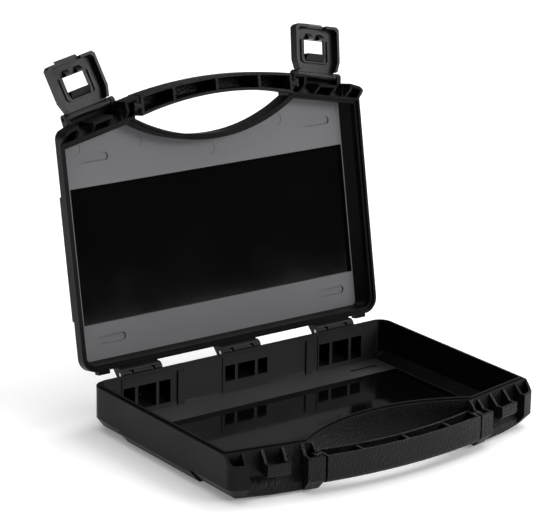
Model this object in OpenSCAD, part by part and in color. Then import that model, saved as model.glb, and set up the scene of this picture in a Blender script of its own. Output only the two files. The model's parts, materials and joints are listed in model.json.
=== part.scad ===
// Hard tool case: a shallow hinged case with a moulded grip and two front latches.
// The origin is the centre of the underside, +X is to the right seen from the front,
// +Y is towards the hinges and +Z is up. The lid stands open, the latches hang open.

/* [Case] */
// Width over the side walls
case_w = 250; // [246:1:280]
// Depth from the back wall to the front corners of the rim
shell_d = 155; // [145:1:175]
// Height of the base at its rim
base_h = 31.5; // [30:0.5:42]
// Height of the lid from its rim to its plain outer face
lid_h = 14.7; // [14:0.1:20]
// Thickness of the side, back and front walls
wall = 4; // [3.4:0.1:4.6]
// Thickness of the floor and of the lid's top
floor_t = 2; // [1.8:0.1:2.6]
// Thickness of the hollow front corners, pillars and webs
skin_t = 2; // [1.6:0.1:2.4]
// Radius of the back vertical corners
corner_r = 11; // [10:0.5:16]
// Radius of the front vertical corners
front_corner_r = 7; // [5:0.5:9]
// Radius of the bowed front that the corners, pillars and grip follow
front_arc_r = 342; // [320:1:380]
// Distance from the middle of the case to the front of the bow
front_reach = 109; // [107:0.5:114]
// How far the edge chamfer cuts in from the sides
chamfer_in = 7; // [6:0.5:8]
// How far the edge chamfer runs up the sides
chamfer_up = 7.8; // [6:0.1:9]
// How far the edge chamfer cuts in from the back
chamfer_back = 1.5; // [1:0.1:2]
// How far the inner edge chamfer runs in from the walls
inner_chamfer = 6.2; // [4:0.1:7]

/* [Bands and feet] */
// How far the middle band and the feet stand proud
band_rise = 1.9; // [1.4:0.1:2.2]
// Length of the outer band along the depth
band_d = 84; // [70:1:100]
// Half width of the recessed glossy band inside
gloss_half_w = 114; // [90:1:114]
// Front end of the glossy band inside
gloss_y0 = -45.5; // [-55:0.5:-35]
// Back end of the glossy band inside
gloss_y1 = 47.5; // [35:0.5:55]
// Length of a foot
foot_l = 24; // [16:1:30]
// Width of a foot
foot_w = 6.5; // [5:0.5:8]
// Distance of the feet from the sides of the case
foot_in = 31.5; // [29:0.5:45]
// Distance of the back feet from the middle
foot_back = 59; // [50:0.5:62]
// Distance of the front feet from the middle
foot_front = 64.5; // [55:0.5:66]
// Depth of the pocket behind each foot
foot_pocket = 0.8; // [0.4:0.1:1]
// Diameter of an ejector mark
mark_d = 9.5; // [6:0.5:12]
// Depth of an ejector mark
mark_depth = 0.25; // [0.1:0.05:0.4]

/* [Rim] */
// Height of the sealing tongue above the rim of the base
tongue_h = 1.2; // [0.8:0.1:1.6]
// Thickness of the sealing tongue
tongue_t = 1.5; // [1.2:0.1:1.8]
// Width of the lid's lip that goes round the tongue
lip_t = 1.9; // [1.4:0.1:2]
// Gap between the tongue and the lid all round
rim_fit = 0.35; // [0.3:0.05:0.5]
// Gap between lid and base when the case is shut
lid_gap = 0.3; // [0.3:0.05:0.6]

/* [Front] */
// Radius of the concave finger wall
finger_r = 127.6; // [120:0.1:140]
// Depth of the finger wall behind the front of the bow
finger_depth = 39.4; // [34:0.1:42]
// Slant of the front walls beside the grip, in degrees
front_slant = 11.5; // [8:0.1:14]
// How far the front parts' parting plane lies under the rim
front_drop = 6; // [4:0.5:8]
// Length of the slope between the rim and the parting plane
slope_run = 5.5; // [4:0.5:7]
// Distance of the latch's middle from the side of the case
latch_in = 32.5; // [30:0.5:36]
// Width of the latch recess
recess_w = 38.8; // [36:0.1:42]
// Distance of the pillars' inner faces from the middle
pillar_x = 64.4; // [62:0.1:68]
// Width of the catch and of the lid's block behind the latch
catch_w = 16; // [12:0.5:16.4]
// How far the catch stands out of the front wall
catch_out = 11.8; // [10.5:0.1:12]
// Height of the top of the catch
catch_top = 24.4; // [23:0.1:25]
// Height of the catch plate
catch_h = 8.3; // [6:0.1:9]
// How far the lid's block stands out of the front wall
block_out = 7.3; // [5:0.1:8]
// How far the recess wall runs out at its outer edge
recess_ramp = 4.5; // [2:0.5:5]

/* [Grip] */
// Radius of the grip's inner face
grip_arc_r = 255; // [240:1:280]
// Thickness of the grip at its middle
grip_t = 12; // [10:0.5:13]
// Half length of the grip
grip_half_l = 62.9; // [60:0.1:63.4]
// Height of the underside of the grip
grip_bottom = 6.5; // [5:0.5:10]
// Height of the top of the grip above the rim
grip_rise = 13; // [11:0.5:14]
// Rounding of the grip's outer edge
grip_round_out = 4.5; // [3:0.1:5]
// Rounding of the grip's inner edge
grip_round_in = 2.5; // [1.5:0.1:3]
// Wall thickness of the hollow grip
grip_wall = 2; // [1.6:0.1:2.4]
// Distance of the cross ribs from the middle
grip_rib_x = 35.5; // [25:0.5:45]
// Thickness of the tongue that hooks into a pillar
hook_t = 3; // [2:0.1:4]
// Gap round the hooked tongue
hook_fit = 0.1; // [0.05:0.01:0.2]

/* [Latch] */
// Distance of the latch pivot from the front wall
pivot_out = 13; // [12.5:0.1:14]
// Height of the latch pivot above the rim
pivot_rise = 10.3; // [9.8:0.1:11]
// Width of the latch
latch_w = 38.2; // [34:0.1:38.2]
// Width of the latch at its pivot
latch_root_w = 33.5; // [30:0.1:33.6]
// Length of the latch from the pivot to its free end
latch_l = 36.2; // [34:0.1:36.5]
// Depth of the latch's side walls
latch_d = 7; // [5.5:0.1:7.2]
// Thickness of the latch's walls
latch_t = 2; // [1.6:0.1:2.2]
// Radius of the latch's barrel
latch_barrel_r = 2.6; // [2.3:0.1:2.8]
// Length of the slanted shoulders beside the pivot
shoulder_l = 11; // [8:0.5:13]
// Width of the window
window_w = 17.4; // [17:0.1:20]
// Distance of the window from the pivot
window_s = 15.8; // [15.7:0.1:16.6]
// Length of the window
window_l = 10.2; // [10.1:0.1:10.4]
// Width of the notch in the latch's end wall
notch_w = 15.5; // [10:0.5:20]
// Depth of the notch in the end wall
notch_d = 3.3; // [2:0.1:4]
// Width of the finger lip
lip_w = 17; // [12:0.5:22]
// How far the finger lip reaches past the end of the latch
lip_out = 2; // [1:0.1:2.5]
// Diameter of a latch pin
latch_pin_d = 2.5; // [2:0.1:2.8]
// Opening angle of the left latch from shut
left_open = 103.5; // [90:0.5:123]
// Opening angle of the right latch from shut
right_open = 100; // [90:0.5:123]

/* [Hinges] */
// Distance of the outer hinges from the sides of the case
hinge_in = 42.5; // [42:0.5:55]
// Distance of the hinge axis behind the back wall
hinge_back = 4.9; // [4.8:0.1:6]
// Depth of the hinge axis under the rim of the base
hinge_drop = 0.8; // [0:0.1:1]
// Radius of a hinge barrel
barrel_r = 4.4; // [4.2:0.1:4.5]
// Width of a hinge barrel
barrel_w = 32; // [28:0.5:34]
// Diameter of a hinge pin
hinge_pin_d = 3; // [2.5:0.1:3.2]
// Sideways distance of the hinge ears from a hinge's middle
ear_x = 8.5; // [7:0.5:10]
// Thickness of a hinge ear
ear_t = 2.4; // [2:0.1:3]
// Opening angle of the lid from shut
lid_open = 100.3; // [90:0.1:105]

/* [Hinge housings] */
// Half width of the outer windows in the back wall
window_half_w = 19; // [17:0.5:19]
// Half width of the middle window in the back wall
mid_window_half_w = 18; // [16:0.5:19]
// Height of the lower edge of the outer windows
window_z0 = 7.3; // [6.5:0.1:9]
// Height of the lower edge of the middle window
mid_window_z0 = 12.4; // [9:0.1:14]
// Height of the upper edge of the windows
window_z1 = 23.9; // [21:0.1:23.9]
// Depth of the housings behind the back wall
housing_d = 10.7; // [10:0.1:12]
// Wall thickness of the housings
housing_t = 1.6; // [1.2:0.1:1.8]

/* [Fits] */
// Radial gap of a pin in the part that turns on it
run_fit = 0.06; // [0.03:0.01:0.1]
// Radial gap of a pin in the ears that hold it
seat_fit = 0.02; // [0.01:0.01:0.03]
// Gap beside a moving part
side_gap = 0.3; // [0.3:0.05:0.35]

/* [Hidden] */
$fn = 96;
black = "#1b1b1c";
dark_grey = "#262627";
steel = "#b8babd";
arc_fn = 240;
facet_fn = 40;
over = 1;
blend = 0.1;
hollow_root = 0.3;
sliver = 0.02;
far = 400;
slope_on = over * front_drop / (slope_run - blend);
hook_in = 13;
hook_short = 8;
hook_low = 17;
rib_drop = 0.6;
sill_slope = 0.45;
floor_back_in = 0.5;
lid_back_in = 1.4;
half_w = case_w / 2;
latch_x = half_w - latch_in;
hinge_x = half_w - hinge_in;
foot_x = half_w - foot_in;
y_back = shell_d / 2;
y_front = -shell_d / 2;
front_arc_y = front_arc_r - front_reach;
finger_y = finger_depth - front_reach - finger_r;
lid_z0 = base_h + lid_gap;
lid_top = base_h + lid_h;
front_z = base_h - front_drop;
hinge_y = y_back + hinge_back;
hinge_z = base_h - hinge_drop;
hinge_places = [-hinge_x, 0, hinge_x];
latch_y = y_front - (half_w - latch_x) * tan(front_slant);
pivot_z = base_h + pivot_rise;
recess_half = recess_w / 2;
grip_arc_y = grip_arc_r + grip_t - front_reach;
tongue_in = lip_t + rim_fit;
lid_face_t = floor_t;
foot_places = [[foot_x, foot_back], [foot_x, -foot_front]];
lid_marks = [[108, -72], [58.7, -71], [0, -58]];
ear_disc_r = hinge_pin_d / 2 + 1.5;
ear_stem_w = 3.2;
slot_r = ear_disc_r + side_gap;
slot_w = ear_t + 2 * side_gap;
slot_half = asin((ear_stem_w / 2 + side_gap + blend) / slot_r);
slot_from = 270 - slot_half;
slot_to = 270 + slot_half + lid_open;
lug_t = recess_half - latch_root_w / 2 - side_gap;
lug_r = latch_barrel_r + 0.6;
latch_side_t = latch_barrel_r - latch_d;
shoulder_s = 3.6;
hook_pad_w = 4.5;
hook_pad_x = 2.5;
hook_drop = 3.8;
hook_flat = 1.2;
hook_run = 4.5;
pad_drop = 3;
pad_l = 5.5;
frame_in = 2.2;
frame_t = 1;
frame_rise = 1.2;
frame_r = 2;
lip_root = 3;
lip_drop = 1.6;

// Stretches a profile drawn as depth and height along X
module along_x(length) {
    rotate([90, 0, 90]) linear_extrude(length, center = true) children();
}

// A shape and its mirror image on the other side of the case
module both_sides() {
    children();
    mirror([1, 0, 0]) children();
}

// The frame of the right latch: X along the front wall, -Y out of it
module at_latch() {
    translate([latch_x, latch_y, 0]) rotate([0, 0, front_slant]) children();
}

// Outline of the whole case seen from above, with the front bow
module case_plan(inset = 0, back_inset = 0, fn = arc_fn) {
    corner_fn = fn == arc_fn ? $fn : facet_fn;
    side = half_w - inset;
    back = y_back - back_inset;
    back_r = max(corner_r - inset, 3);
    front_r = max(front_corner_r - inset, 1);
    bow_r = front_arc_r - inset;
    corner_x = side - front_r;
    corner_y = front_arc_y - sqrt(pow(bow_r - front_r + blend, 2) - pow(corner_x, 2));
    bow_x = corner_x * bow_r / (bow_r - front_r);
    intersection() {
        union() {
            translate([-side, corner_y]) square([2 * side, back - back_r - corner_y]);
            translate([-side + back_r, 0]) square([2 * (side - back_r), back]);
            translate([-bow_x, -front_reach - over]) square([2 * bow_x, front_reach + over]);
            for (s = [-1, 1]) {
                translate([s * (side - back_r), back - back_r]) circle(r = back_r, $fn = corner_fn);
                translate([s * corner_x, corner_y]) circle(r = front_r, $fn = corner_fn);
            }
        }
        translate([0, front_arc_y]) circle(r = bow_r, $fn = fn);
    }
}

// Outline of the tub: the case behind its front wall
module tub_plan(inset = 0) {
    run = half_w + over;
    slant_in = inset / cos(front_slant);
    knee_y = y_front - half_w * tan(front_slant) + slant_in;
    edge_y = y_front + over * tan(front_slant) + slant_in;
    difference() {
        intersection() {
            case_plan(inset, inset);
            polygon([[-run, edge_y], [0, knee_y], [run, edge_y], [run, y_back + over], [-run, y_back + over]]);
        }
        translate([0, finger_y]) circle(r = finger_r + inset, $fn = arc_fn);
    }
}

// Chamfered outside of the base: face_z is the underside
module base_envelope(face_z) {
    rise = chamfer_up / chamfer_in;
    hull() {
        translate([0, 0, face_z]) linear_extrude(sliver) case_plan(chamfer_in, chamfer_back, 180);
        translate([0, 0, face_z + chamfer_up + rise]) linear_extrude(base_h)
            case_plan(-over, -over, 180);
    }
}

// Chamfered outside of the lid: face_z is its outer face
module lid_envelope(face_z) {
    rise = chamfer_up / chamfer_in;
    hull() {
        translate([0, 0, face_z - sliver]) linear_extrude(sliver)
            case_plan(chamfer_in, chamfer_back, 180);
        translate([0, 0, face_z - chamfer_up - rise - base_h]) linear_extrude(base_h)
            case_plan(-over, -over, 180);
    }
}

// The outside of the base with its proud band
module base_outside() {
    intersection() {
        union() {
            base_envelope(band_rise);
            intersection() {
                base_envelope(0);
                translate([-far, -band_d / 2, -over]) cube([2 * far, band_d, base_h]);
            }
        }
        linear_extrude(base_h) case_plan();
    }
}

// The outside of the lid with its proud band
module lid_outside() {
    intersection() {
        union() {
            lid_envelope(lid_top);
            intersection() {
                lid_envelope(lid_top + band_rise);
                translate([-far, -band_d / 2, base_h]) cube([2 * far, band_d, lid_h + far]);
            }
        }
        translate([0, 0, front_z]) linear_extrude(front_drop + lid_h + 2 * band_rise) case_plan();
    }
}

// Front corner and pillar seen from above on the right, solid
module front_plan() {
    intersection() {
        case_plan();
        union() {
            translate([latch_x, latch_y]) rotate(front_slant)
                translate([recess_half, -far]) square([far, far + wall / 2]);
            intersection() {
                translate([latch_x, latch_y]) rotate(front_slant)
                    translate([-recess_half - far, -far]) square([far, far + wall - over]);
                translate([pillar_x, -far]) square([far, far]);
            }
        }
    }
}

// The hollow of the right front corner
module corner_hollow_plan() {
    intersection() {
        case_plan(skin_t);
        translate([latch_x, latch_y]) rotate(front_slant)
            translate([recess_half + skin_t, -far]) square([far, far - hollow_root]);
    }
}

// The hollow of the right pillar
module pillar_hollow_plan() {
    intersection() {
        case_plan(skin_t);
        translate([latch_x, latch_y]) rotate(front_slant)
            translate([-recess_half - skin_t - far, -far]) square([far, far - hollow_root]);
        translate([pillar_x + skin_t, -far]) square([far, far]);
    }
}

// The hollows of the right front corner and pillar between two heights
module front_hollows(z0, z1) {
    translate([0, 0, z0]) linear_extrude(z1 - z0) corner_hollow_plan();
    translate([0, 0, z0]) linear_extrude(z1 - z0) pillar_hollow_plan();
}

// Space under the stepped top of the base's front parts
module under_slope() {
    at_latch() along_x(far) polygon([
        [far, -far], [far, base_h + slope_on], [over - blend, base_h + slope_on], [-slope_run, front_z],
        [-far, front_z], [-far, -far]]);
}

// Space over the stepped underside of the lid's front parts
module over_slope() {
    at_latch() along_x(far) polygon([
        [far, far], [far, lid_z0 + slope_on], [over - blend, lid_z0 + slope_on],
        [-slope_run, front_z + lid_gap],
        [-far, front_z + lid_gap], [-far, far]]);
}

// Slot in a pillar's inner web for the grip's tongue, height from z0 to z1
module hook_slot(z0, z1) {
    hook_y = hook_middle_y();
    translate([pillar_x - over, hook_y - hook_t / 2 - hook_fit, z0])
        cube([skin_t + 2 * over, hook_t + 2 * hook_fit, z1 - z0]);
}

function hook_middle_y() = hook_in - front_reach;

// Webs of the catch and of the lid's block, side by side
module block_webs(reach) {
    for (s = [-1, 1]) translate([s * (catch_w - skin_t) / 2 - skin_t / 2, -reach, -over])
        cube([skin_t, reach + wall / 2, far]);
}

// The base's catch that the latch hooks under
module catch_block() {
    nose = 1.5;
    foot = catch_top - catch_h;
    intersection() {
        union() {
            at_latch() block_webs(catch_out);
            at_latch() translate([-catch_w / 2, -catch_out, 0]) cube([catch_w, skin_t, far]);
        }
        at_latch() along_x(far) polygon([
            [wall / 2, foot], [-catch_out + nose, foot], [-catch_out, foot + nose],
            [-catch_out, catch_top], [-slope_run - over, catch_top], [-blend, base_h - blend],
            [wall / 2, base_h - blend]]);
    }
}

// The ramp that the recess wall ends in
module recess_ramp_profile(z_start, z_turn, z_end) {
    polygon([[wall / 2, z_start], [0, z_start], [-recess_ramp, z_turn], [-recess_ramp, z_end],
             [wall / 2, z_end]]);
}

// The four pills under the case or on its lid
module pills(inset, z0, z1) {
    straight = foot_l - foot_w;
    both_sides() for (p = foot_places) translate([p[0], p[1], z0]) linear_extrude(z1 - z0) union() {
        square([straight, foot_w - 2 * inset], center = true);
        for (s = [-1, 1]) translate([s * straight / 2, 0]) circle(d = foot_w - 2 * inset);
    }
}

// The housing behind the back wall that carries a hinge's ears
module housing(half) {
    outer = half + housing_t;
    translate([-outer, y_back - over, window_z0 - floor_t])
        cube([2 * outer, housing_d + over, window_z1 + housing_t - window_z0 + floor_t]);
}

// The ears that rise from the housing's ribs to the hinge axis
module hinge_ears() {
    for (s = [-1, 1]) translate([s * ear_x, 0, 0]) {
        along_x(ear_t) translate([hinge_y, hinge_z]) circle(r = ear_disc_r);
        along_x(ear_t) translate([hinge_y - ear_stem_w / 2, window_z1])
            square([ear_stem_w, hinge_z - window_z1]);
    }
}

// The three cells of a housing, between its two ribs
module housing_cells(half, z0) {
    depth = wall + housing_d - housing_t;
    sill = depth * sill_slope;
    for (cell = [[-half, -ear_x - ear_t / 2], [-ear_x + ear_t / 2, ear_x - ear_t / 2],
                 [ear_x + ear_t / 2, half]])
        translate([(cell[0] + cell[1]) / 2, 0, 0]) along_x(cell[1] - cell[0]) polygon([
            [y_back - wall - over, z0], [y_back - wall + over, z0], [y_back - wall + depth, z0 + sill],
            [y_back - wall + depth, window_z1], [y_back - wall - over, window_z1]]);
}

// Raised panels and strips on the inside of the back wall
module back_wall_relief() {
    proud = 0.6;
    strip_x = 52;
    strip_w = 5.5;
    y = y_back - wall - proud;
    top = base_h - 3;
    for (x = hinge_places)
        translate([x - window_half_w - over, y, floor_t]) cube([2 * (window_half_w + over), proud + over, top]);
    both_sides() translate([strip_x, y - proud, floor_t]) cube([strip_w, 2 * proud + over, top - 2]);
}

// A curved rib on the back of a housing's middle cell
module cell_hook(z0) {
    ring_r = 4.2;
    ring_t = 1.2;
    y = y_back + housing_d - housing_t;
    translate([0, y + sliver, z0 + 2 * ring_r]) rotate([90, 0, 0]) linear_extrude(ring_t * 2) difference() {
        circle(r = ring_r);
        circle(r = ring_r - ring_t);
        translate([-far, ring_t]) square([2 * far, far]);
    }
}

module base_shell() {
    color(black) {
        difference() {
            union() {
                intersection() {
                    base_outside();
                    union() {
                        linear_extrude(base_h) tub_plan();
                        both_sides() intersection() {
                            difference() {
                                linear_extrude(base_h) front_plan();
                                front_hollows(band_rise + chamfer_up + skin_t / 2, base_h + over);
                            }
                            under_slope();
                        }
                        both_sides() at_latch() along_x(recess_w + skin_t)
                            recess_ramp_profile(catch_top - catch_h - 2, chamfer_up, 0);
                    }
                }
                translate([0, 0, base_h - over]) linear_extrude(tongue_h + over) difference() {
                    tub_plan(tongue_in);
                    tub_plan(tongue_in + tongue_t);
                }
                both_sides() catch_block();
                pills(0, 0, band_rise + floor_t / 2);
                for (x = hinge_places) translate([x, 0, 0]) {
                    housing(x == 0 ? mid_window_half_w : window_half_w);
                    hinge_ears();
                }
            }
            difference() {
                base_inside();
                back_wall_relief();
            }
            translate([-gloss_half_w, gloss_y0, floor_t])
                cube([2 * gloss_half_w, gloss_y1 - gloss_y0, band_rise + over]);
            pills(over / 2, band_rise + floor_t - foot_pocket, floor_t + 2 * band_rise);
            both_sides() hook_slot(hook_low - over, base_h);
            for (x = hinge_places) translate([x, 0, 0]) {
                housing_cells(x == 0 ? mid_window_half_w : window_half_w, x == 0 ? mid_window_z0 : window_z0);
                translate([0, hinge_y, hinge_z]) rotate([0, 90, 0])
                    cylinder(r = hinge_pin_d / 2 + seat_fit, h = 2 * (ear_x + ear_t), center = true);
            }
        }
        for (x = hinge_places) translate([x, 0, 0]) cell_hook(x == 0 ? mid_window_z0 : window_z0);
    }
}

// The inside of the base: straight walls and a chamfer down to the floor
module base_inside() {
    floor_z = band_rise + floor_t;
    intersection() {
        hull() {
            translate([0, 0, floor_z]) linear_extrude(sliver)
                case_plan(wall + inner_chamfer, wall + floor_back_in, 180);
            translate([0, 0, floor_z + inner_chamfer + over]) linear_extrude(base_h)
                case_plan(wall - over, wall - over, 180);
        }
        translate([0, 0, floor_z]) linear_extrude(base_h) tub_plan(wall);
    }
}

// The inside of the lid
module lid_inside() {
    face_z = lid_top - lid_face_t;
    intersection() {
        hull() {
            translate([0, 0, face_z - sliver]) linear_extrude(sliver)
                case_plan(wall + inner_chamfer, wall + lid_back_in, 180);
            translate([0, 0, face_z - inner_chamfer - over - base_h]) linear_extrude(base_h)
                case_plan(wall - over, wall - over, 180);
        }
        translate([0, 0, base_h - over]) linear_extrude(face_z - base_h + over) tub_plan(wall);
    }
}

// The block behind the latch in the lid
module lid_block() {
    at_latch() {
        block_webs(block_out);
        translate([-catch_w / 2, -block_out, 0]) cube([catch_w, skin_t, far]);
    }
}

// The two lugs that carry the latch pin
module latch_lugs() {
    back = 8;
    drop = 0.5;
    root = 2;
    bite = skin_t / 2;
    for (s = [-1, 1]) at_latch() translate([s * (recess_half + (bite - lug_t) / 2), 0, 0]) {
        along_x(lug_t + bite) translate([-pivot_out, pivot_z]) circle(r = lug_r);
        along_x(lug_t + bite) polygon([
            [-pivot_out, pivot_z - lug_r], [-back, pivot_z - lug_r - drop], [-back, lid_z0 + blend],
            [wall / 2, lid_z0 + blend], [wall / 2, lid_top - root], [-recess_ramp, lid_top - root + drop],
            [-pivot_out, pivot_z + lug_r]]);
    }
}

// The shelf that closes the view between a latch's barrel and the lid
module latch_shelf() {
    edge = over - pivot_out;
    bottom = pivot_z + latch_barrel_r + side_gap;
    at_latch() along_x(2 * recess_half - lug_t) polygon([
        [wall / 2, bottom], [edge, bottom], [edge, lid_top - blend], [wall / 2, lid_top - blend]]);
}

// The web between the lid's back wall and a hinge barrel
module knuckle(width) {
    reach = (barrel_r - blend) * sin(45);
    bottom = lid_z0 + blend;
    along_x(width) translate([hinge_y, hinge_z]) circle(r = barrel_r);
    along_x(width) polygon([
        [y_back - wall / 2, bottom], [hinge_y - barrel_r * cos(30), bottom], [hinge_y, hinge_z],
        [hinge_y + reach, hinge_z + reach], [y_back - wall / 2, hinge_z + 2 * barrel_r + over]]);
}

// Slots of a knuckle that the base's ears turn in
module knuckle_slots() {
    reach = 3 * barrel_r;
    for (s = [-1, 1]) translate([s * ear_x, 0, 0]) {
        along_x(slot_w) translate([hinge_y, hinge_z]) circle(r = slot_r);
        along_x(slot_w) translate([hinge_y, hinge_z]) polygon(concat([[0, 0]],
            [for (a = [slot_from : (slot_to - slot_from) / 4 : slot_to]) reach * [cos(a), sin(a)]]));
    }
}

module lid_closed() {
    tab_x = 104.8;
    tab_w = 8.9;
    tab_d = 2.5;
    tab_h = 5;
    difference() {
        union() {
            intersection() {
                lid_outside();
                union() {
                    translate([0, 0, lid_z0]) linear_extrude(lid_h + 2 * band_rise) tub_plan();
                    both_sides() intersection() {
                        difference() {
                            linear_extrude(lid_top + 2 * band_rise) front_plan();
                            front_hollows(-over, lid_top - chamfer_up - skin_t / 2);
                        }
                        over_slope();
                    }
                    both_sides() at_latch() along_x(recess_w + skin_t)
                        recess_ramp_profile(base_h + 2, lid_top - chamfer_up + 2, lid_top);
                    both_sides() intersection() {
                        lid_block();
                        over_slope();
                    }
                }
            }
            both_sides() latch_lugs();
            both_sides() latch_shelf();
            pills(0, lid_top - floor_t / 2, lid_top + band_rise);
            for (x = hinge_places) translate([x, 0, 0]) knuckle(barrel_w);
            both_sides() translate([tab_x, y_back - over, lid_z0 + blend])
                cube([tab_w, tab_d + over, tab_h]);
        }
        lid_inside();
        translate([0, 0, base_h - over]) linear_extrude(over + tongue_h + 2 * lid_gap) difference() {
            tub_plan(lip_t);
            tub_plan(wall + over);
        }
        translate([-gloss_half_w, gloss_y0, lid_top - floor_t - over])
            cube([2 * gloss_half_w, gloss_y1 - gloss_y0, band_rise + over]);
        pills(over / 2, base_h, lid_top - lid_face_t + foot_pocket);
        both_sides() for (m = lid_marks) translate([m[0], m[1], lid_top - lid_face_t - over])
            cylinder(d = mark_d, h = mark_depth + over);
        both_sides() hook_slot(front_z, base_h + grip_rise - hook_short + over);
        for (x = hinge_places) translate([x, 0, 0]) {
            knuckle_slots();
            translate([0, hinge_y, hinge_z]) rotate([0, 90, 0])
                cylinder(r = hinge_pin_d / 2 + run_fit, h = 2 * barrel_w, center = true);
        }
        both_sides() at_latch() translate([0, -pivot_out, pivot_z]) rotate([0, 90, 0])
            cylinder(r = latch_pin_d / 2 + seat_fit, h = recess_w + 4 * skin_t, center = true);
    }
}

// Turns what is drawn shut to the open lid
module lid_place() {
    translate([0, hinge_y, hinge_z]) rotate([-lid_open, 0, 0]) translate([0, -hinge_y, -hinge_z]) children();
}

module lid_shell() {
    color(black) lid_place() lid_closed();
}

// Grip half: side = -1 hangs below the parting plane, 1 stands above it
module grip_half(side) {
    z_part = side < 0 ? front_z : front_z + lid_gap;
    z_end = side < 0 ? grip_bottom : base_h + grip_rise;
    tall = abs(z_end - z_part);
    translate([0, 0, z_part]) mirror([0, 0, side < 0 ? 1 : 0]) {
        difference() {
            union() {
                intersection() {
                    grip_ring(front_arc_y, front_arc_r, tall, grip_round_out, true);
                    grip_ring(grip_arc_y, grip_arc_r, tall, grip_round_in, false);
                    translate([-grip_half_l, -far, 0]) cube([2 * grip_half_l, far, tall]);
                }
                both_sides() grip_hook(tall - (side < 0 ? hook_low - grip_bottom : hook_short));
            }
            difference() {
                translate([0, 0, -over]) linear_extrude(tall - grip_wall + over) intersection() {
                    translate([0, front_arc_y]) circle(r = front_arc_r - grip_wall, $fn = arc_fn);
                    difference() {
                        translate([-grip_half_l + grip_wall, -far]) square([2 * (grip_half_l - grip_wall), far]);
                        translate([0, grip_arc_y]) circle(r = grip_arc_r + grip_wall, $fn = arc_fn);
                    }
                }
                for (x = [-grip_rib_x, 0, grip_rib_x])
                    translate([x - grip_wall / 2, -far, rib_drop]) cube([grip_wall, far, tall]);
            }
        }
    }
}

// A ring about (0, y) whose far edge is rounded, outside or inside
module grip_ring(y, r, tall, round_r, outside) {
    thick = 2 * grip_t;
    inner = outside ? r - thick * 2 : r;
    outer = outside ? r : r + thick * 2;
    edge = outside ? outer - round_r : inner + round_r;
    translate([0, y, 0]) rotate_extrude($fn = arc_fn) union() {
        translate([inner, 0]) square([outer - inner, tall - round_r]);
        translate([outside ? inner : edge, 0]) square([outer - inner - round_r, tall]);
        translate([edge, tall - round_r]) circle(r = round_r, $fn = 48);
    }
}

// The hooked tongue at the right end of a grip half
module grip_hook(deep) {
    y = hook_middle_y();
    head = 2;
    neck = pillar_x + skin_t + hook_fit;
    translate([grip_half_l - grip_wall / 2, y - hook_t / 2, 0])
        cube([neck - grip_half_l + grip_wall / 2 + over, hook_t, deep]);
    translate([neck, y - hook_t, 0]) cube([head, 2 * hook_t, deep]);
}

module grip_half_base() {
    color(dark_grey) grip_half(-1);
}

module grip_half_lid() {
    color(dark_grey) lid_place() grip_half(1);
}

// Outline of a latch seen from its outer side: X across, -Y from pivot to free end
module latch_outline(inset) {
    root = latch_root_w / 2 - inset;
    side = latch_w / 2 - inset;
    end = latch_l - inset;
    nick = 2;
    polygon([[-root, inset], [root, inset], [root, -shoulder_s], [side, -shoulder_l], [side, -end + nick],
             [side - nick, -end], [-side + nick, -end], [-side, -end + nick], [-side, -shoulder_l],
             [-root, -shoulder_s]]);
}

// Outline of the ridge round three sides of a latch's window
module window_frame_plan() {
    reach = window_w / 2 + frame_in;
    frame_s = window_s - pad_l;
    difference() {
        offset(frame_r + frame_t, $fn = facet_fn) window_frame_core(reach, frame_s);
        offset(frame_r, $fn = facet_fn) window_frame_core(reach, frame_s);
        translate([-far, -window_s - window_l - far]) square([2 * far, far]);
    }
}

module window_frame_core(reach, frame_s) {
    translate([frame_r - reach, -latch_l]) square([2 * (reach - frame_r), latch_l - frame_s - frame_r]);
}

// A latch in its own frame: pivot on X, hanging shut along -Z, -Y outwards
module latch_shut() {
    face = latch_barrel_r;
    plate = face - latch_t;
    window_end = window_s + window_l;
    difference() {
        union() {
            difference() {
                translate([0, -latch_side_t, 0]) rotate([90, 0, 0]) linear_extrude(latch_d) latch_outline(0);
                translate([0, -latch_side_t + over, 0]) rotate([90, 0, 0])
                    linear_extrude(latch_d - latch_t + over) latch_outline(latch_t);
                translate([-notch_w / 2, -latch_side_t - notch_d, -latch_l - over])
                    cube([notch_w, far, latch_t + 2 * over]);
                translate([-far, -plate, -shoulder_s]) cube([2 * far, far, far]);
            }
            rotate([0, 90, 0]) cylinder(r = latch_barrel_r, h = latch_root_w, center = true);
            along_x(window_w - latch_t) polygon([
                [-plate - sliver, pad_l - window_s], [pad_drop - plate, -window_s],
                [-plate - sliver, -window_s]]);
            for (s = [-1, 1]) translate([s * (hook_pad_x + hook_pad_w / 2), 0, 0])
                along_x(hook_pad_w) polygon([
                    [-plate - sliver, -window_end], [hook_drop - plate, -window_end],
                    [hook_drop - plate, -window_end - hook_flat], [-plate - sliver, -window_end - hook_run]]);
            along_x(lip_w) polygon([
                [-plate - sliver, lip_root - latch_l], [-face, lip_root - latch_l],
                [-face - lip_drop, -latch_l - lip_out], [-face, -latch_l - lip_out],
                [-plate - sliver, -latch_l]]);
            translate([0, frame_rise - plate, 0]) rotate([90, 0, 0])
                linear_extrude(frame_rise + sliver) window_frame_plan();
        }
        translate([-window_w / 2, -far / 2, -window_end]) cube([window_w, far / 2 - plate + sliver, window_l]);
        rotate([0, 90, 0]) cylinder(r = latch_pin_d / 2 + run_fit, h = 2 * latch_w, center = true);
    }
}

// Puts a right-hand latch part on the open lid
module on_lid_right() {
    lid_place() at_latch() translate([0, -pivot_out, pivot_z]) children();
}

module on_lid_left() {
    lid_place() mirror([1, 0, 0]) at_latch() translate([0, -pivot_out, pivot_z]) children();
}

module latch_left() {
    color(black) on_lid_left() rotate([-left_open, 0, 0]) latch_shut();
}

module latch_right() {
    color(black) on_lid_right() rotate([-right_open, 0, 0]) latch_shut();
}

module latch_pin() {
    rotate([0, 90, 0]) cylinder(d = latch_pin_d, h = recess_w - 2 * seat_fit, center = true);
}

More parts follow.
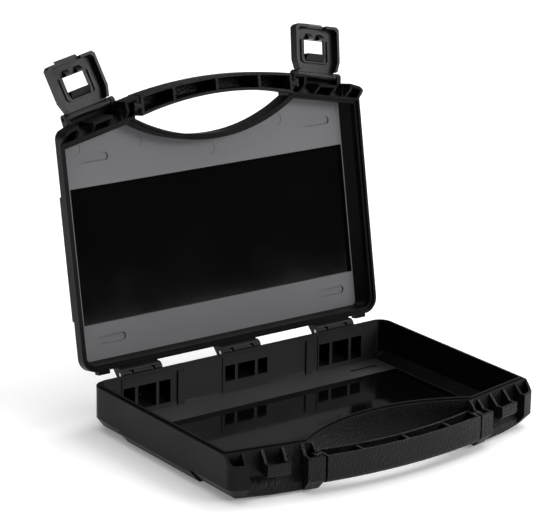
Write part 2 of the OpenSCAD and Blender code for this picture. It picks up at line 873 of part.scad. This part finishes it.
module latch_pin_left() {
    color(steel) on_lid_left() latch_pin();
}

module latch_pin_right() {
    color(steel) on_lid_right() latch_pin();
}

module hinge_pin(x) {
    color(steel) translate([x, hinge_y, hinge_z]) rotate([0, 90, 0])
        cylinder(d = hinge_pin_d, h = barrel_w - 2 * side_gap, center = true);
}

module hinge_pin_left() { hinge_pin(-hinge_x); }
module hinge_pin_middle() { hinge_pin(0); }
module hinge_pin_right() { hinge_pin(hinge_x); }

base_shell();
lid_shell();
grip_half_base();
grip_half_lid();
latch_left();
latch_right();
latch_pin_left();
latch_pin_right();
hinge_pin_left();
hinge_pin_middle();
hinge_pin_right();
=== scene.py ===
# %% [markdown]
# # A hard tool case, open on a pale floor
#
# The real object is a small carrying case for tools. Two shallow shells are moulded from black
# polypropylene. They turn on three steel hinge pins, and two latches with windows hang from the
# lid. The CAD model already holds every moving part at its true size, so this lesson dresses it:
# it rounds the moulded edges, gives each zone of the mould its own finish, paints a grey sheen
# into the strips beside the mirror bands, and lights it.

# %% Load the imported model
import json
import math

import bmesh
import bpy
from mathutils import Matrix, Vector

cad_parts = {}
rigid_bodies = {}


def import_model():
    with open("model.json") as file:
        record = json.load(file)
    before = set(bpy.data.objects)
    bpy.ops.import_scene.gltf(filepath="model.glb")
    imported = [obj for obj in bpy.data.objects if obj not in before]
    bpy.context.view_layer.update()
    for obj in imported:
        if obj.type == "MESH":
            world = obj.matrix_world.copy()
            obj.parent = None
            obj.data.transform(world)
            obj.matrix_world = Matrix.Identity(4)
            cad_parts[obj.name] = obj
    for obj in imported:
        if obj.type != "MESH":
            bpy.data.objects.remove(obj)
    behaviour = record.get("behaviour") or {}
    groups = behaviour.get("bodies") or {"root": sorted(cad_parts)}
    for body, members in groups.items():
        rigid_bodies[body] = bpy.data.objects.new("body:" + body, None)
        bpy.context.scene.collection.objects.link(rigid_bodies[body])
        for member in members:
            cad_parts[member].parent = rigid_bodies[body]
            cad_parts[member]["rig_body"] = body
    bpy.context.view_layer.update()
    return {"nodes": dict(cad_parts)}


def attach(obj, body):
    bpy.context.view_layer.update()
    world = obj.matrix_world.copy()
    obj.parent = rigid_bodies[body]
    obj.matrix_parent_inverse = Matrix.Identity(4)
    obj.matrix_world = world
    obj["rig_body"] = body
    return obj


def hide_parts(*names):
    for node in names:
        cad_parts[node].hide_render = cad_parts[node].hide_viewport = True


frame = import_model()
MM = 0.001

# %% [markdown]
# ## The camera
# The case is seen from the front left and a little above, from some 1.6 m away through a long
# lens. The photographer held the camera about one degree off level, so the camera is rolled too.

# %% Camera
LENS_MM = 158.63
CAMERA_AT = Vector((-0.9324, -1.2223, 0.5894))
CAMERA_LOOKS_AT = Vector((-0.0297, 0.0, 0.1192))
ROLL_DEGREES = 0.93
SENSOR_MM = 36
CLIP_END_M = 50


def aimed(at, target):
    """The matrix of an object that stands at one point and looks at another."""
    turn = (Vector(target) - Vector(at)).to_track_quat("-Z", "Y").to_matrix().to_4x4()
    return Matrix.Translation(at) @ turn


camera = bpy.data.objects.new("camera", bpy.data.cameras.new("camera"))
bpy.context.scene.collection.objects.link(camera)
camera.data.lens = LENS_MM
camera.data.sensor_width = SENSOR_MM
camera.data.clip_end = CLIP_END_M
roll = Matrix.Rotation(math.radians(ROLL_DEGREES), 4, "Z")
camera.matrix_world = aimed(CAMERA_AT, CAMERA_LOOKS_AT) @ roll
bpy.context.scene.camera = camera
print("camera distance in m:", round((CAMERA_LOOKS_AT - CAMERA_AT).length, 3))

# %% [markdown]
# ## Helpers for the finishes
# Colours are written as sRGB hex values, as a moulder would pick them from a chart, and one
# function turns them to linear light. One more function adds a node with its settings and links.

# %% Colour and node helpers
def linear(hex_code):
    parts = [int(hex_code[i:i + 2], 16) / 255 for i in (1, 3, 5)]
    return (*[p / 12.92 if p <= 0.04045 else ((p + 0.055) / 1.055) ** 2.4 for p in parts], 1.0)


def add(tree, kind, links=None, **settings):
    """Adds a node; links are {input: output socket}, settings are properties or {input: value}."""
    made = tree.nodes.new(kind)
    inputs = settings.pop("inputs", {})
    for key, value in settings.items():
        setattr(made, key, value)
    for key, value in inputs.items():
        made.inputs[key].default_value = value
    for key, socket in (links or {}).items():
        tree.links.new(socket, made.inputs[key])
    return made


def new_finish(name):
    finish = bpy.data.materials.new(name)
    finish.use_nodes = True
    finish.node_tree.nodes.clear()
    return finish, finish.node_tree


print("mid grey in linear light:", round(linear("#808080")[0], 3))

# %% [markdown]
# ## Polypropylene as it leaves the mould
# Most walls carry a fine satin grain, drawn a little under half a millimetre wide. The grip, most
# of the front and the wall behind the fingers have a coarser pebble of one and a half
# millimetres, and a polished insert leaves a mirror band in the lid and on the floor. The outside
# is nearly black, and so is the plastic of the strips beside the mirror bands, but their colour
# holds a painted sheen that stands in for the light their matte grain catches: mid grey in the
# lid, dark grey in the base. Both grains are drawn coarse enough to show at this picture size.

# %% Moulded finishes
GRAIN_MM = 0.45
PEBBLE_MM = 1.5
RUB_MM = 38.0
MIRROR_WAVE_MM = 4.0


def moulded(name, colour, roughness, grain_mm, depth_mm,
            sheen_spread=0.08, shine=0.5, pebbled=False):
    """Moulded polypropylene: a black body, a grain of real size and slightly uneven sheen."""
    finish, tree = new_finish(name)
    place = add(tree, "ShaderNodeTexCoord").outputs["Object"]
    patches = add(tree, "ShaderNodeTexNoise", {"Vector": place},
                  inputs={"Scale": 1 / (RUB_MM * MM), "Detail": 4.0, "Roughness": 0.6})
    sheen = add(tree, "ShaderNodeMapRange", {"Value": patches.outputs["Fac"]},
                inputs={"From Min": 0.3, "From Max": 0.7,
                        "To Min": roughness - sheen_spread, "To Max": roughness + sheen_spread})
    if pebbled:
        grain = add(tree, "ShaderNodeTexVoronoi", {"Vector": place}, feature="SMOOTH_F1",
                    inputs={"Scale": 1 / (grain_mm * MM), "Smoothness": 0.6}).outputs["Distance"]
    else:
        grain = add(tree, "ShaderNodeTexNoise", {"Vector": place},
                    inputs={"Scale": 1 / (grain_mm * MM), "Detail": 3.0,
                            "Roughness": 0.55}).outputs["Fac"]
    bump = add(tree, "ShaderNodeBump", {"Height": grain},
               inputs={"Strength": 1.0, "Distance": depth_mm * MM})
    tone = add(tree, "ShaderNodeMix", {"Factor": patches.outputs["Fac"]}, data_type="RGBA",
               inputs={6: linear(colour[0]), 7: linear(colour[1])})
    shader = add(tree, "ShaderNodeBsdfPrincipled",
                 {"Base Color": tone.outputs[2], "Roughness": sheen.outputs["Result"],
                  "Normal": bump.outputs["Normal"]},
                 inputs={"IOR": 1.49, "Specular IOR Level": shine})
    add(tree, "ShaderNodeOutputMaterial", {"Surface": shader.outputs["BSDF"]})
    return finish


satin = moulded("satin polypropylene", ("#0a0a0b", "#0f0f10"),
                roughness=0.4, grain_mm=GRAIN_MM, depth_mm=0.03, shine=0.12)
# Painted sheen: the lid's strips are coloured mid grey to stand in for the light their matte grain
# catches; the plastic itself is black.
sheen_painted_inner = moulded("spark eroded polypropylene with painted sheen", ("#6a686b", "#727073"),
                roughness=0.55, grain_mm=GRAIN_MM, depth_mm=0.02)
# Painted sheen: the base's strip and the front-facing side of its back wall are coloured dark grey to
# stand in for the light they catch; the plastic itself is black.
sheen_painted_base_strip = moulded("base strip polypropylene with painted sheen", ("#29282a", "#323133"),
                      roughness=0.48, grain_mm=GRAIN_MM, depth_mm=0.02, shine=0.35)
mirror = moulded("polished polypropylene", ("#050506", "#060607"),
                 roughness=0.07, grain_mm=MIRROR_WAVE_MM, depth_mm=0.002,
                 sheen_spread=0.02, shine=0.45)
pebble = moulded("pebbled polypropylene", ("#08080a", "#0f0f10"),
                 roughness=0.45, grain_mm=PEBBLE_MM, depth_mm=0.5, shine=0.2, pebbled=True)
latch_black = moulded("latch polypropylene", ("#0d0d0e", "#121213"),
                      roughness=0.36, grain_mm=GRAIN_MM, depth_mm=0.02, shine=0.25)
print("finishes:", [m.name for m in (satin, sheen_painted_inner, sheen_painted_base_strip, mirror, pebble, latch_black)])

# %% [markdown]
# ## Drawn steel for the pins
# The pins are cut from bright drawn wire, so their fine scratches run along X.

# %% Pin steel
SCRATCH_MM = 0.12
SCRATCH_DEPTH_MM = 0.01
ALONG_WIRE = 0.02


def drawn_steel():
    finish, tree = new_finish("drawn steel")
    place = add(tree, "ShaderNodeTexCoord").outputs["Object"]
    stretched = add(tree, "ShaderNodeMapping", {"Vector": place},
                    inputs={"Scale": (ALONG_WIRE, 1.0, 1.0)})
    scratches = add(tree, "ShaderNodeTexNoise", {"Vector": stretched.outputs["Vector"]},
                    inputs={"Scale": 1 / (SCRATCH_MM * MM), "Detail": 2.0})
    sheen = add(tree, "ShaderNodeMapRange", {"Value": scratches.outputs["Fac"]},
                inputs={"To Min": 0.2, "To Max": 0.42})
    bump = add(tree, "ShaderNodeBump", {"Height": scratches.outputs["Fac"]},
               inputs={"Distance": SCRATCH_DEPTH_MM * MM})
    shader = add(tree, "ShaderNodeBsdfPrincipled",
                 {"Roughness": sheen.outputs["Result"], "Normal": bump.outputs["Normal"]},
                 inputs={"Base Color": linear("#b9bbbe"), "Metallic": 1.0})
    add(tree, "ShaderNodeOutputMaterial", {"Surface": shader.outputs["BSDF"]})
    return finish


steel = drawn_steel()
for name, node in frame["nodes"].items():
    if "_pin_" in name:
        node.data.materials.clear()
        node.data.materials.append(steel)
print("steel pins:", sum("_pin_" in name for name in frame["nodes"]))

# %% [markdown]
# ## Rounding the moulded edges
# A mould never leaves a knife edge: a radius of about a third of a millimetre runs along the
# longer rims and ribs and catches the light. Each moulded CAD node is copied, its triangles are
# joined, flat faces are dissolved, and the long sharp edges are bevelled.

# %% Rounded copies of the moulded nodes
ROUND_MM = 0.35
SHARP_DEGREES = 28
SHORTEST_MM = 1.4
MERGE_MM = 0.002
FLAT_DEGREES = 0.3
ROOM_IN_RADII = 2.2


def let_large_faces_rule(mesh):
    """Weights corner normals by area, so a small rounding doesn't bend the light on a flat wall."""
    fans = [[] for _ in mesh.vertices]
    for face in mesh.polygons:
        for corner in face.vertices:
            fans[corner].append((face.normal.copy(), face.area))
    limit = math.cos(math.radians(SHARP_DEGREES))
    normals = []
    for face in mesh.polygons:
        for corner in face.vertices:
            near = [normal * area for normal, area in fans[corner] if normal.dot(face.normal) > limit]
            normals.append(sum(near, Vector()).normalized())
    mesh.normals_split_custom_set(normals)


def rounded_copy(name):
    source = frame["nodes"][name]
    mesh = source.data.copy()
    mesh.name = name + "_moulded"
    work = bmesh.new()
    work.from_mesh(mesh)
    bmesh.ops.remove_doubles(work, verts=work.verts, dist=MERGE_MM * MM)
    bmesh.ops.dissolve_limit(work, angle_limit=math.radians(FLAT_DEGREES), verts=work.verts,
                             edges=work.edges, use_dissolve_boundaries=False)
    if name.startswith("latch"):
        bmesh.ops.connect_verts_concave(work, faces=[f for f in work.faces if len(f.verts) > 4])
    sharp = [e for e in work.edges if e.calc_face_angle(0) > math.radians(SHARP_DEGREES)]
    room = ROOM_IN_RADII * ROUND_MM * MM
    tight = {v for e in work.edges if e.calc_length() < room for v in e.verts}
    chosen = [e for e in sharp
              if e.calc_length() > SHORTEST_MM * MM and not tight.intersection(e.verts)]
    bmesh.ops.bevel(work, geom=chosen, offset=ROUND_MM * MM, offset_type="OFFSET", affect="EDGES",
                    segments=2, profile=0.5, material=-1, clamp_overlap=True)
    for face in work.faces:
        face.smooth = True
    for edge in work.edges:
        edge.smooth = edge.calc_face_angle(0) < math.radians(SHARP_DEGREES)
    work.to_mesh(mesh)
    work.free()
    let_large_faces_rule(mesh)
    piece = bpy.data.objects.new(name + "_moulded", mesh)
    bpy.context.scene.collection.objects.link(piece)
    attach(piece, source["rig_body"])
    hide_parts(name)
    print(name, "faces:", len(mesh.polygons), "rounded edges:", len(chosen), "of", len(sharp))
    return piece


moulded_pieces = {name: rounded_copy(name) for name in frame["nodes"] if "_pin_" not in name}

# %% [markdown]
# ## Which zone of the mould made each face
# A face knows where it lies, so its place tells which part of the mould it came from. The lid's
# faces are judged in the shut position, where the same limits serve both shells.

# %% Finish by zone
HINGE_Y, HINGE_Z, LID_OPEN = 82.4, 30.7, 100.3
GLOSS_HALF_W, GLOSS_Y0, GLOSS_Y1 = 114.2, -45.7, 47.7
FINGER_Y, FINGER_R = -197.2, 127.6
BASE_STRIP_Z, BASE_GLOSS_Z = 3.9, 2.0
LID_STRIP_Z, LID_GLOSS_Z = 44.2, 46.1
STRIP_SLACK, GLOSS_SLACK, FINGER_SLACK = 1.1, 0.6, 0.6
INSIDE_HALF_W, SHELF_Y, BACK_Y = 122, -86, 70
FRONT_HALF_W, FRONT_Y = 106, -84
FACING = 0.9


def shut_place(point, is_lid):
    """A point in millimetres, turned back to the shut lid where it belongs to the lid."""
    x, y, z = (v / MM for v in point)
    if not is_lid:
        return Vector((x, y, z))
    turn = Matrix.Rotation(math.radians(LID_OPEN), 3, "X")
    return turn @ Vector((x, y - HINGE_Y, z - HINGE_Z)) + Vector((0, HINGE_Y, HINGE_Z))


def shut_normal(normal, is_lid):
    return Matrix.Rotation(math.radians(LID_OPEN), 3, "X") @ normal if is_lid else normal.copy()


def finger_gap(at):
    """How far a shut place lies from the concave wall behind the fingers."""
    return abs(math.hypot(at.x, at.y - FINGER_Y) - FINGER_R)


def zone(at, up, is_lid, strip_z, gloss_z):
    """The slot of a face's finish: 0 satin, 1 strip with painted sheen, 2 mirror, 3 pebbled."""
    flat = abs(up.z) > FACING
    in_gloss = abs(at.x) < GLOSS_HALF_W and GLOSS_Y0 < at.y < GLOSS_Y1
    inside = abs(at.x) < INSIDE_HALF_W and at.y > SHELF_Y
    on_front = at.y < FRONT_Y and abs(at.x) < FRONT_HALF_W
    if flat and in_gloss and abs(at.z - gloss_z) < GLOSS_SLACK:
        return 2
    # Slot 1 takes the grey of painted sheen: the flat strips beside the mirror bands, and in the base
    # also the inside of the back wall, which faces the front.
    if flat and inside and abs(at.z - strip_z) < STRIP_SLACK:
        return 1
    if not is_lid and up.y < -FACING and at.y > BACK_Y:
        return 1
    if not flat and (on_front or finger_gap(at) < FINGER_SLACK):
        return 3
    return 0


def dress_shell(name, strip_z, gloss_z):
    piece = moulded_pieces[name]
    is_lid = name.startswith("lid")
    piece.data.materials.clear()
    for finish in (satin, sheen_painted_inner if is_lid else sheen_painted_base_strip, mirror, pebble):
        piece.data.materials.append(finish)
    counts = [0, 0, 0, 0]
    for face in piece.data.polygons:
        at = shut_place(face.center, is_lid)
        up = shut_normal(face.normal, is_lid)
        face.material_index = zone(at, up, is_lid, strip_z, gloss_z)
        counts[face.material_index] += 1
    print(name, "satin, inner, mirror and pebbled faces:", counts)


dress_shell("base_shell", BASE_STRIP_Z, BASE_GLOSS_Z)
dress_shell("lid_shell", LID_STRIP_Z, LID_GLOSS_Z)
for name, finish in (("grip_half_base", pebble), ("grip_half_lid", pebble),
                     ("latch_left", latch_black), ("latch_right", latch_black)):
    moulded_pieces[name].data.materials.clear()
    moulded_pieces[name].data.materials.append(finish)

# %% [markdown]
# ## Floor and light
# The case stands on a pale sheet. A soft box high on the right throws a soft shadow to the left, a
# second one at the front right lights the inside of the lid, and a wide one far overhead lights
# the sheet. Little light comes from the level of the table, and so the mirror bands stay black.

# %% Floor
FLOOR_LOW, FLOOR_HIGH = (-9.0, -2.6), (2.6, 9.0)
FIBRE_MM = 2.5
FIBRE_DEPTH_MM = 0.02

plane = bmesh.new()
corners = [plane.verts.new((x, y, 0.0)) for x, y in
           (FLOOR_LOW, (FLOOR_HIGH[0], FLOOR_LOW[1]), FLOOR_HIGH, (FLOOR_LOW[0], FLOOR_HIGH[1]))]
plane.faces.new(corners)
floor_mesh = bpy.data.meshes.new("floor")
plane.to_mesh(floor_mesh)
plane.free()
floor = bpy.data.objects.new("floor", floor_mesh)
bpy.context.scene.collection.objects.link(floor)
paper, tree = new_finish("matt paper")
place = add(tree, "ShaderNodeTexCoord").outputs["Object"]
fibres = add(tree, "ShaderNodeTexNoise", {"Vector": place},
             inputs={"Scale": 1 / (FIBRE_MM * MM), "Detail": 3.0})
bump = add(tree, "ShaderNodeBump", {"Height": fibres.outputs["Fac"]},
           inputs={"Distance": FIBRE_DEPTH_MM * MM})
shader = add(tree, "ShaderNodeBsdfPrincipled", {"Normal": bump.outputs["Normal"]},
             inputs={"Base Color": linear("#f4f4f4"), "Roughness": 0.95,
                     "Emission Color": (1, 1, 1, 1), "Emission Strength": 0.2})
add(tree, "ShaderNodeOutputMaterial", {"Surface": shader.outputs["BSDF"]})
floor_mesh.materials.append(paper)
print("floor corners in m:", FLOOR_LOW, FLOOR_HIGH)

# %% Lights
def soft_box(name, at, aim, width, depth, watts):
    lamp = bpy.data.lights.new(name, "AREA")
    lamp.shape = "RECTANGLE"
    lamp.size, lamp.size_y, lamp.energy = width, depth, watts
    box = bpy.data.objects.new(name, lamp)
    bpy.context.scene.collection.objects.link(box)
    box.matrix_world = aimed(at, aim)
    print(name, "watts:", watts)


soft_box("key box", (1.6, 0.35, 1.7), (0, 0, 0.1), 1.8, 1.8, 34)
soft_box("front box", (1.3, -1.9, 1.25), (0, 0.05, 0.1), 1.6, 0.9, 32)
soft_box("overhead", (0, 0.5, 4.5), (0, 0.5, 0), 6.0, 6.0, 150)

# %% Studio surroundings
HORIZON, ABOVE = 0.03, 0.22

world = bpy.data.worlds.new("studio")
bpy.context.scene.world = world
world.use_nodes = True
sky = world.node_tree
place = add(sky, "ShaderNodeTexCoord").outputs["Generated"]
up = add(sky, "ShaderNodeSeparateXYZ", {"Vector": place})
glow = add(sky, "ShaderNodeMapRange", {"Value": up.outputs["Z"]}, interpolation_type="SMOOTHSTEP",
           inputs={"From Min": 0.12, "From Max": 0.6, "To Min": HORIZON, "To Max": ABOVE})
sky.links.new(glow.outputs["Result"], sky.nodes["Background"].inputs["Strength"])
sky.nodes["Background"].inputs["Color"].default_value = linear("#ffffff")
bpy.context.scene.view_settings.view_transform = "Standard"
print("light of the horizon and from above:", HORIZON, ABOVE)
